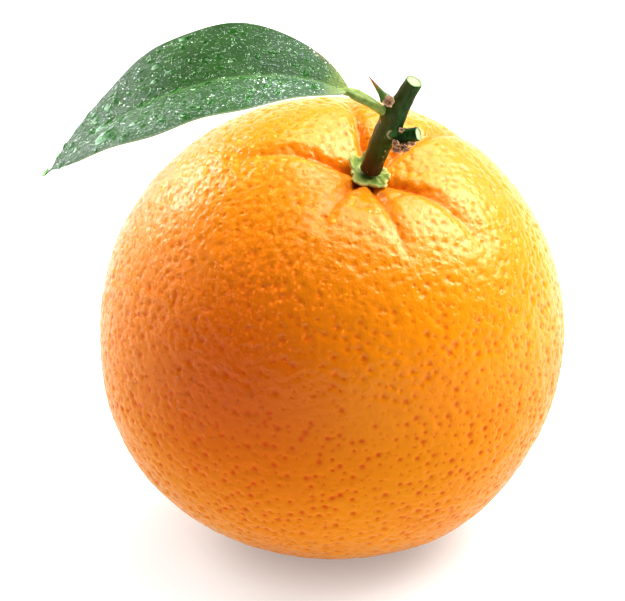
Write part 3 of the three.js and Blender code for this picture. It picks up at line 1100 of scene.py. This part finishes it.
def twig_piece(name, rings, material, node, foot, tan, marks=None):
    """A twig with a cut face at its end, and the attributes that the bark reads."""
    body = len(rings)
    rings = np.concatenate([rings, cut_rings(rings, CUT_SHARES, CUT_HEIGHTS)])
    points, faces = skin(rings)
    around = rings.shape[1]
    cut = np.zeros(rings.shape[:2])
    cut[body + CUT_WOOD_START :] = 1
    cut[body + CUT_WOOD_START - 1] = 0.4
    pith = np.zeros(rings.shape[:2])
    pith[body + CUT_PITH_START :] = 1
    grown = np.concatenate([foot, np.zeros(len(rings) - body)])[:, None] * np.ones(around)
    tanned = np.concatenate([tan, np.zeros((len(rings) - body, around))])
    attributes = {
        "cut": np.append(cut, (0, 1)),
        "pith": np.append(pith, (0, 1)),
        "foot": np.append(grown, (foot[0], 0)),
        "tan": np.append(tanned, (0, 0)),
    }
    for label, values in (marks or {}).items():
        marked = np.concatenate([values, np.zeros((len(rings) - body, around))])
        attributes[label] = np.append(marked, (0, 0))
    made = new_object(name, new_mesh(name, points, faces, attributes), material)
    settle(made, "bark", node)


class ORANGE_OT_twig(PieceOperator, bpy.types.Operator):
    """Make the cut stem and the stub of its side shoot"""

    bl_idname = "orange.twig"
    bl_label = "Twig"
    around = 56
    stem_rings = 180
    knob = (9.55, -16.15, 41.55)
    shoot_rings = 40

    def execute(self, context):
        material = bark_material(context.scene.orange_twig)
        self.stem(material)
        self.side_shoot(material)
        return {"FINISHED"}

    def stem(self, material):
        route = route_points(STEM_ROUTE)
        shares = np.linspace(0, 1, self.stem_rings)

        def radius_at(t, a):
            ridges = 0.035 * np.sin(5 * a + 4 * t) + 0.02 * np.sin(11 * a - 9 * t)
            radius = value_at(STEM_RADII, t) + ridges + 0.03 * np.sin(40 * t + 3 * a)
            return radius, radius

        rings = tube_rings(route, shares, self.around, radius_at)
        core = read_route(route, shares)[0][:, None, :]
        outward = unit(rings - core)
        moved = rings.copy()
        for at, rise, spread in STEM_NODES:
            swell = rise * bell(np.linalg.norm(rings - np.array(at), axis=-1) / spread)
            moved += outward * swell[..., None]
        foot = bell(shares / 0.16)
        tan = np.clip(0.35 - outward[..., 0] * 0.9 - 0.3 * shares[:, None], 0, 1)
        knob = np.linalg.norm(moved - np.array(self.knob), axis=-1)
        left = share_between(moved[..., 0], self.knob[0], self.knob[0] - 0.3)
        marks = {"knob": bell(knob) ** 2, "scar": bell((knob - 0.8) / 0.14) * left}
        twig_piece("stem_bark", moved, material, "stem", foot, tan, marks)

    def side_shoot(self, material):
        def radius_at(t, a):
            radius = SHOOT_RADIUS + SHOOT_FLARE * bell(t / 0.35) + 0.03 * np.sin(6 * a + 3 * t)
            return radius, radius

        shares = np.linspace(0, 1, self.shoot_rings)
        rings = tube_rings(route_points(SHOOT_ROUTE), shares, self.around, radius_at)
        zero = np.zeros(rings.shape[:2])
        twig_piece("side_shoot_bark", rings, material, "side_shoot_stub", np.zeros(len(shares)), zero)


class ORANGE_OT_buds(PieceOperator, bpy.types.Operator):
    """Make the scaly buds on the twig and the thorn in the leaf's axil"""

    bl_idname = "orange.buds"
    bl_label = "Buds and thorn"
    loose_scales = (
        ((10.25, -16.35, 40.35), (0.75, 0.6, 0.75)),
        ((11.6, -16.2, 40.0), (0.85, 0.6, 0.5)),
        ((12.6, -16.3, 40.2), (0.8, 0.45, 0.4)),
    )

    def execute(self, context):
        look = context.scene.orange_twig
        dark, light, dry = look.bud_dark_colour, look.bud_light_colour, look.bud_tip_colour
        scales = mottled_material("bud_scales", dark, light, 0.3, 0.65, 0.08, dry, "edge")
        self.cluster("axil_bud_scales", [AXIL_BUD], scales, "leaf_axil_bud")
        self.cluster("shoot_bud_scales", SHOOT_BUDS + self.loose_scales, scales, "side_shoot_buds")
        self.thorn(look)
        return {"FINISHED"}

    def cluster(self, name, buds, material, node):
        """Knobs of overlapping scales that open outwards round a dark middle."""
        ring_sets, edges = [], []
        for order, (at, size) in enumerate(buds):
            lean = self.lean(order)
            for petal, edge_strength in self.petals(order):
                ring_sets.append((petal @ lean) * np.array(size) + np.array(at))
                out = np.hypot(petal[..., 0], petal[..., 2]).ravel()
                edges.append(np.append(share_between(out, 0.35, 1) * edge_strength, (0, 0)))
        mesh = new_mesh(name, *joined_skins(ring_sets), {"edge": np.concatenate(edges)})
        settle(new_object(name, mesh, material), "bud_scales", node)

    def lean(self, order):
        """Each bud after the first leans its own way."""
        nod, swing = -0.7 * math.sin(2.1 * order), -0.9 * math.sin(1.3 * order)
        return np.array(Matrix.Rotation(nod, 3, "X") @ Matrix.Rotation(swing, 3, "Z"))

    def petals(self, order):
        """A core and whorls of scales round it, in the bud's size, each with its edge's strength."""
        polar = np.linspace(0.06, np.pi - 0.06, 18)[:, None]
        angle = np.linspace(0, 2 * np.pi, 24, endpoint=False)[None, :]
        ball = np.stack(
            [
                np.sin(polar) * np.cos(angle),
                -np.cos(polar) * np.ones_like(angle),
                np.sin(polar) * np.sin(angle),
            ],
            axis=-1,
        )
        yield ball * (0.72, 0.62, 0.72), 0.0
        for ring, (count, reach, lift) in enumerate(((6, 0.6, 0.22), (4, 0.36, 0.6))):
            for k in range(count):
                turn = 2 * np.pi * (k + 0.5 * ring + 0.23 * order) / count + 0.45 * np.sin(5 * k + order)
                outward = np.array((np.cos(turn), 0, np.sin(turn)))
                sideways = np.array((-np.sin(turn), 0, np.cos(turn)))
                forward = np.array((0, -1, 0))
                long_way = outward * (0.38 + 0.13 * np.sin(3 * k + 2 * order)) + forward * 0.16
                local = ball[..., :1] * long_way + ball[..., 2:] * sideways * (0.36 + 0.08 * np.cos(7 * k))
                local = local + ball[..., 1:2] * (forward * 0.13 - outward * 0.05)
                yield local + outward * reach + forward * lift, 1.0

    def thorn(self, look):
        shares = np.linspace(0, 1, 60)

        def radius_at(t, a):
            radius = THORN_RADIUS * (1 - 0.93 * t**0.85) + 0.25 * bell(t / 0.15)
            return radius + 0 * a, radius + 0 * a

        points, faces = skin(tube_rings(route_points(THORN_ROUTE), shares, 28, radius_at))
        tip = np.append(np.repeat(share_between(shares, 0.35, 0.75), 28), (0, 1))
        mesh = new_mesh("thorn_needle", points, faces, {"tip": tip})
        green, dry = look.thorn_colour, look.thorn_tip_colour
        light = tuple(channel * 1.7 for channel in green)
        material = mottled_material("thorn_skin", green, light, 0.5, 0.45, 0.04, dry, "tip")
        settle(new_object("thorn_needle", mesh, material), "thorn", "thorn")


class BladeShape:
    """The blade's surface: share runs from stalk to tip, across from -1 in front to 1 behind."""

    def __init__(self):
        self.midrib = route_points(MIDRIB_ROUTE)
        self.length = np.linalg.norm(np.diff(self.midrib[0], axis=0), axis=1).sum()

    def half_width(self, share):
        along = np.minimum(share / BLADE_POINT_START, 1)
        oval = np.maximum(0, np.sin(np.pi * along**1.04)) ** 0.79
        return BLADE_POINT_HALF_WIDTH + (BLADE_HALF_WIDTH - BLADE_POINT_HALF_WIDTH) * oval

    def surface(self, share, across):
        """Points on the middle of the blade and their normals."""
        point, tangent = read_route(self.midrib, share)
        back = unit(np.array((0, 1.0, 0)) - tangent * tangent[..., 1:2])
        normal = np.cross(back, tangent)
        width = self.half_width(share)
        reach = width * np.abs(across)
        rise_back, rise_front = (value_at(rise, share) for rise in (BLADE_BACK_RISE, BLADE_FRONT_RISE))
        rise = np.radians(np.where(across > 0, rise_back, rise_front))
        bulge = BLADE_PILLOW * np.sin(np.pi * np.abs(across)) * width / BLADE_HALF_WIDTH
        out = np.sign(across) * reach * np.cos(rise)
        lift = reach * np.sin(rise) + bulge
        return point + back * out[..., None] + normal * lift[..., None], normal

    def veins(self, share, across):
        """How strongly the midrib and the side veins show, from 0 to 1."""
        reach = self.half_width(share) * np.abs(across)
        midrib = bell(reach / (0.55 * (1 - 0.6 * share))) * share_between(share, 1.02, 0.72)
        slant = share * self.length - reach * 0.62 + 0.012 * reach**2 + np.where(across > 0, 0, 2.1)
        phase = np.abs(np.mod(slant / VEIN_SPACING, 1) - 0.5) * VEIN_SPACING
        side = bell(phase / 0.3) * np.clip(1.15 - np.abs(across), 0, 1)
        return midrib, side * np.clip(1.3 - share, 0, 1)


class ORANGE_OT_leaf(PieceOperator, bpy.types.Operator):
    """Make the leaf: its stalk, and the blade with midrib, side veins and a drawn-out tip"""

    bl_idname = "orange.leaf"
    bl_label = "Leaf"
    # The stalk starts inside the stem.
    stalk_foot = (10.4, -13.4, 44.5)
    stalk_joint = (8.5, -15.0, 45.2)
    along = 230
    across = 90

    def execute(self, context):
        look = context.scene.orange_leaf
        self.blade(look)
        self.stalk(look)
        return {"FINISHED"}

    def blade(self, look):
        shape = BladeShape()
        share = np.linspace(0, 1, self.along)[:, None] * np.ones(2 * self.across)
        over = np.sin(np.linspace(-np.pi / 2, np.pi / 2, self.across, endpoint=False))
        under = -np.sin(np.linspace(-np.pi / 2, np.pi / 2, self.across, endpoint=False))
        across = np.ones((self.along, 1)) * np.concatenate([over, under])
        is_top = np.concatenate([np.ones(self.across), np.zeros(self.across)])[None, :] + 0 * share
        middle, normal = shape.surface(share, across)
        midrib, side = shape.veins(share, across)
        edge = np.sqrt(np.clip(1 - across**6, 0, 1))
        half = BLADE_THICKNESS / 2 * (0.35 + 0.65 * edge) * np.clip((1.03 - share) / 0.2, 0.35, 1)
        half = half * np.where(np.abs(across) > 0.999, 0, 1)
        puff = 0.04 * (1 - side) * edge * np.sin(np.pi * np.clip(np.abs(across), 0, 1))
        above = half + puff - 0.16 * midrib - 0.03 * side
        below = half + 0.55 * midrib * (1 - share) + 0.05 * side - puff
        wave = 0.25 * np.sin(share * 21 + np.sign(across) * 1.3) * across**2 * np.sin(np.pi * share)
        lift = np.where(is_top > 0.5, above, -below) + wave
        points, faces = skin(middle + normal * lift[..., None])
        upper_edge = bell((share - 0.095) / 0.035) * share_between(across, 0.75, 1)
        fields = {
            "vein": side,
            "midrib": midrib,
            "under": 1 - is_top,
            "stalk_end": share_between(share, 0.09, 0),
            "rim": share_between(np.abs(across), 0.985, 1),
            "dry_patch": upper_edge,
            # Grey that is partly the finest dew, partly a painted sheen.
            "bloom": self.bloom(share, across),
            "dew": is_top * share_between(share, 0.02, 0.12) * (np.abs(across) < 0.94),
        }
        attributes = {name: np.append(field, (0, 0)) for name, field in fields.items()}
        mesh = new_mesh("leaf_skin", points, faces, attributes)
        leaf = new_object("leaf_skin", mesh, leaf_material(look))
        let_light_through(leaf)
        settle(leaf, "leaf", "leaf_blade")

    def bloom(self, share, across):
        """Where the blade is greyed towards its tip and its front edge: partly the finest dew, partly a
        painted sheen.
        """
        tip = share_between(share, 0.5, 0.85)
        front = 0.5 * share_between(across, 0, -0.5) + 0.55 * bell((share - 0.17) / 0.12)
        return np.clip(0.13 + 1.1 * tip + front, 0, 1)

    def stalk(self, look):
        shares = np.linspace(0, 1, 90)

        def radius_at(t, a):
            groove = 0.18 * bell((a - np.pi / 2) / 0.5) + 0 * t
            taper = 1 - 0.85 * share_between(t, 0.7, 1)
            width = value_at(STALK_WIDTHS, t) * taper
            return width + 0 * a, (STALK_THICKNESS * taper) * (1 - groove)

        route = route_points((self.stalk_foot, self.stalk_joint, *STALK_ROUTE[1:]))
        rings = tube_rings(route, shares, 40, radius_at)
        points, faces = skin(rings)
        mesh = new_mesh("leaf_stalk_skin", points, faces)
        dark, light = look.stalk_dark_colour, look.stalk_colour
        material = mottled_material("stalk_green", dark, light, 1.4, 0.45, 0.05)
        settle(new_object("leaf_stalk_skin", mesh, material), "leaf_stalk", "leaf_stalk")


class ORANGE_OT_leaf_drops(PieceOperator, bpy.types.Operator):
    """Scatter fine dew on the leaf, with larger irregular drops among it"""

    bl_idname = "orange.leaf_drops"
    bl_label = "Drops on the leaf"
    # Single drops: share and across on the blade, half length, half width, height, turn in degrees.
    big_drops = (
        (0.735, -0.62, 2.0, 1.5, 1.15, 20),
        (0.753, 0.05, 2.1, 0.6, 0.5, 25),
        (0.738, 0.39, 0.9, 0.8, 0.6, 0),
        (0.568, 0.56, 1.1, 0.8, 0.6, 20),
        (0.527, 0.34, 1.3, 0.6, 0.5, -30),
        (0.58, 0.31, 0.8, 0.7, 0.5, 0),
        (0.638, -0.57, 1.0, 0.6, 0.45, 20),
        (0.348, 0.28, 0.8, 0.5, 0.4, 10),
        (0.478, 0.88, 1.1, 0.5, 0.4, 10),
    )
    # Painted light: the side of a drop that glows, standing in for the light it gathers from the right.
    painted_glow_side = (-0.85, -0.53, 0.0)
    # How far a single drop reaches below the middle of the blade.
    seat_depth = 0.06

    def execute(self, context):
        look = context.scene.orange_water
        leaf = bpy.data.objects["leaf_skin"]
        fine = {
            "Spacing": look.leaf_spacing,
            "Smallest": look.leaf_smallest,
            "Largest": look.leaf_largest,
            "Rarity": 3.0,
            "Stretch": 0.8,
            "Height": 0.5,
            "Wander": 0.35 * MM,
            "Where": "dew",
            "Seed": 21,
        }
        clear = water_material("water", look.clear_colour, ior=1.45)
        scatter_drops("leaf_dew", leaf, clear, fine)
        coarse = {
            **fine,
            "Spacing": 2.3 * MM,
            "Smallest": 0.25 * MM,
            "Largest": 0.8 * MM,
            "Rarity": 1.6,
            "Stretch": 1.6,
            "Height": 0.42,
            "Wander": 0.7 * MM,
            "Seed": 33,
        }
        # Water whose green tint paints shade into the larger drops.
        shaded_water = water_material("water_with_painted_shade", look.drop_shade_colour)
        scatter_drops("leaf_drops", leaf, shaded_water, coarse)
        self.single_drops(shaded_water)
        return {"FINISHED"}

    def single_drops(self, material):
        """The few drops that are large enough to be told apart."""
        shape = BladeShape()
        ring_sets, painted_glows = [], []
        for share, across, length_mm, width_mm, height_mm, turn in self.big_drops:
            at, normal = (value[0] for value in shape.surface(np.array([share]), np.array([across])))
            tangent = read_route(shape.midrib, np.array([share]))[1][0]
            ahead = unit(np.cross(np.cross(normal, tangent), normal))
            side = np.cross(normal, ahead)
            heading = math.radians(turn)
            long_way = ahead * math.cos(heading) + side * math.sin(heading)
            wide_way = np.cross(normal, long_way)
            polar = np.linspace(0.04, np.pi - 0.04, 28)[:, None]
            angle = np.linspace(0, 2 * np.pi, 48, endpoint=False)[None, :]
            lobes = 1 + 0.08 * np.cos(3 * angle + share * 9) + 0.05 * np.cos(5 * angle)
            flat = np.sin(polar) * lobes
            level = np.cos(polar) * np.ones_like(angle)
            level *= np.where(level > 0, height_mm, self.seat_depth)
            rings = (
                at
                + long_way * (length_mm * flat * np.cos(angle))[..., None]
                + wide_way * (width_mm * flat * np.sin(angle))[..., None]
                + normal * level[..., None]
            )
            ring_sets.append(rings)
            # Painted light: how strongly each point of the drop glows, most on the side that gathers the
            # light.
            glow_share = np.clip((rings - at) @ np.array(self.painted_glow_side) / length_mm, 0, 1) ** 1.5
            painted_glows.append(np.append(glow_share.ravel(), (0, 0)))
        fields = {"focus": np.concatenate(painted_glows)}
        mesh = new_mesh("leaf_large_drops", *joined_skins(ring_sets), fields)
        drops = new_object("leaf_large_drops", mesh, material)
        let_light_through(drops)
        settle(drops, None)


class ORANGE_OT_stage(PieceOperator, bpy.types.Operator):
    """Set the white floor, the softboxes and the camera"""

    bl_idname = "orange.stage"
    bl_label = "Stage"
    # Half the floor's side, in metres.
    floor_half = 2.5
    gamma = 0.8
    # Softboxes: name, direction from the fruit, distance, width, height, share of the key's power.
    softboxes = (
        ("right_softbox", (0.74, 0.22, 0.63), 0.62, 0.44, 0.44, 1.08),
        ("left_softbox", (-0.90, 0.30, 0.32), 0.65, 0.55, 0.50, 0.35),
        ("left_back_softbox", (-0.66, 0.58, 0.47), 0.65, 0.28, 0.28, 0.75),
        ("backdrop", (-0.15, 0.97, 0.15), 1.2, 2.5, 0.5, 1.7),
    )
    overhead_direction = (0.32, 0.24, 0.88)
    overhead_angle = math.radians(72)

    def execute(self, context):
        look = context.scene.orange_stage
        self.floor(look)
        self.sky(context.scene, look)
        for name, direction, distance, width, height, share in self.softboxes:
            self.softbox(name, direction, distance, width, height, share * look.key_power)
        self.overhead(look)
        self.camera(context.scene)
        context.scene.view_settings.view_transform = "Standard"
        context.scene.view_settings.gamma = self.gamma
        return {"FINISHED"}

    def floor(self, look):
        half = self.floor_half / MM
        down = -CENTRE_HEIGHT
        corners = [(-half, -half, down), (half, -half, down), (half, half, down), (-half, half, down)]
        mesh = new_mesh("floor", np.array(corners), [[0, 1, 2, 3]])
        floor = new_object("floor", mesh, floor_material(look))

    def sky(self, scene, look):
        world = bpy.data.worlds.new("studio")
        world.use_nodes = True
        tree = world.node_tree
        tree.nodes.clear()
        white = (1, 1, 1, 1)
        lighting = add(tree, "ShaderNodeBackground", {"Color": white, "Strength": look.sky_strength})
        seen = add(tree, "ShaderNodeBackground", {"Color": white, "Strength": 1.0})
        is_seen = add(tree, "ShaderNodeLightPath").outputs["Is Camera Ray"]
        inputs = {0: is_seen, 1: lighting.outputs[0], 2: seen.outputs[0]}
        both = add(tree, "ShaderNodeMixShader", inputs)
        add(tree, "ShaderNodeOutputWorld", {"Surface": both.outputs[0]})
        scene.world = world

    def softbox(self, name, direction, distance, width, height, power):
        light = bpy.data.lights.new(name, "AREA")
        light.shape = "RECTANGLE"
        light.size = width
        light.size_y = height
        light.energy = power
        lamp = bpy.data.objects.new(name, light)
        towards = Vector(direction).normalized()
        lamp.location = towards * distance + Vector(FRUIT_CENTRE * MM)
        lamp.rotation_euler = towards.to_track_quat("Z", "Y").to_euler()
        lamp.visible_camera = False
        bpy.context.scene.collection.objects.link(lamp)

    def overhead(self, look):
        """A wide even light above and behind, which also whitens the floor."""
        light = bpy.data.lights.new("overhead", "SUN")
        light.energy = look.overhead_strength
        light.angle = self.overhead_angle
        lamp = bpy.data.objects.new("overhead", light)
        lamp.rotation_euler = Vector(self.overhead_direction).to_track_quat("Z", "Y").to_euler()
        bpy.context.scene.collection.objects.link(lamp)

    def camera(self, scene):
        view = bpy.data.cameras.new("camera")
        view.lens = CAMERA_LENS
        view.sensor_width = 36
        view.clip_end = 20
        camera = bpy.data.objects.new("camera", view)
        target = Vector((FRUIT_CENTRE + np.array(CAMERA_TARGET)) * MM)
        back = Vector((0, -math.cos(CAMERA_ELEVATION), math.sin(CAMERA_ELEVATION)))
        camera.location = target + back * CAMERA_DISTANCE * MM
        camera.rotation_euler = back.to_track_quat("Z", "Y").to_euler()
        scene.collection.objects.link(camera)
        scene.camera = camera


class ORANGE_PT_panel(bpy.types.Panel):
    """Lists the steps that build the orange"""

    bl_label = "Orange"
    bl_idname = "ORANGE_PT_panel"
    bl_space_type = "VIEW_3D"
    bl_region_type = "UI"
    bl_category = "Orange"

    def draw(self, context):
        for operator in STEPS:
            self.layout.operator(operator.bl_idname)
        for name in SETTINGS:
            box = self.layout.box()
            settings = getattr(context.scene, name)
            box.label(text=name.replace("_", " ").capitalize())
            for field in settings.bl_rna.properties:
                if field.identifier not in ("rna_type", "name"):
                    box.prop(settings, field.identifier)


SETTINGS = {
    "orange_peel": ORANGE_PG_peel,
    "orange_twig": ORANGE_PG_twig,
    "orange_leaf": ORANGE_PG_leaf,
    "orange_water": ORANGE_PG_water,
    "orange_stage": ORANGE_PG_stage,
}
STEPS = (
    ORANGE_OT_peel,
    ORANGE_OT_peel_dew,
    ORANGE_OT_calyx,
    ORANGE_OT_twig,
    ORANGE_OT_buds,
    ORANGE_OT_leaf,
    ORANGE_OT_leaf_drops,
    ORANGE_OT_stage,
)
CLASSES = (*SETTINGS.values(), *STEPS, ORANGE_PT_panel)


def register():
    for kind in CLASSES:
        bpy.utils.register_class(kind)
    for name, kind in SETTINGS.items():
        setattr(bpy.types.Scene, name, bpy.props.PointerProperty(type=kind))


def unregister():
    for name in SETTINGS:
        delattr(bpy.types.Scene, name)
    for kind in reversed(CLASSES):
        bpy.utils.unregister_class(kind)


def main():
    register()
    bpy.ops.orange.peel()
    bpy.ops.orange.peel_dew()
    bpy.ops.orange.calyx()
    bpy.ops.orange.twig()
    bpy.ops.orange.buds()
    bpy.ops.orange.leaf()
    bpy.ops.orange.leaf_drops()
    bpy.ops.orange.stage()


if __name__ == "__main__":
    main()
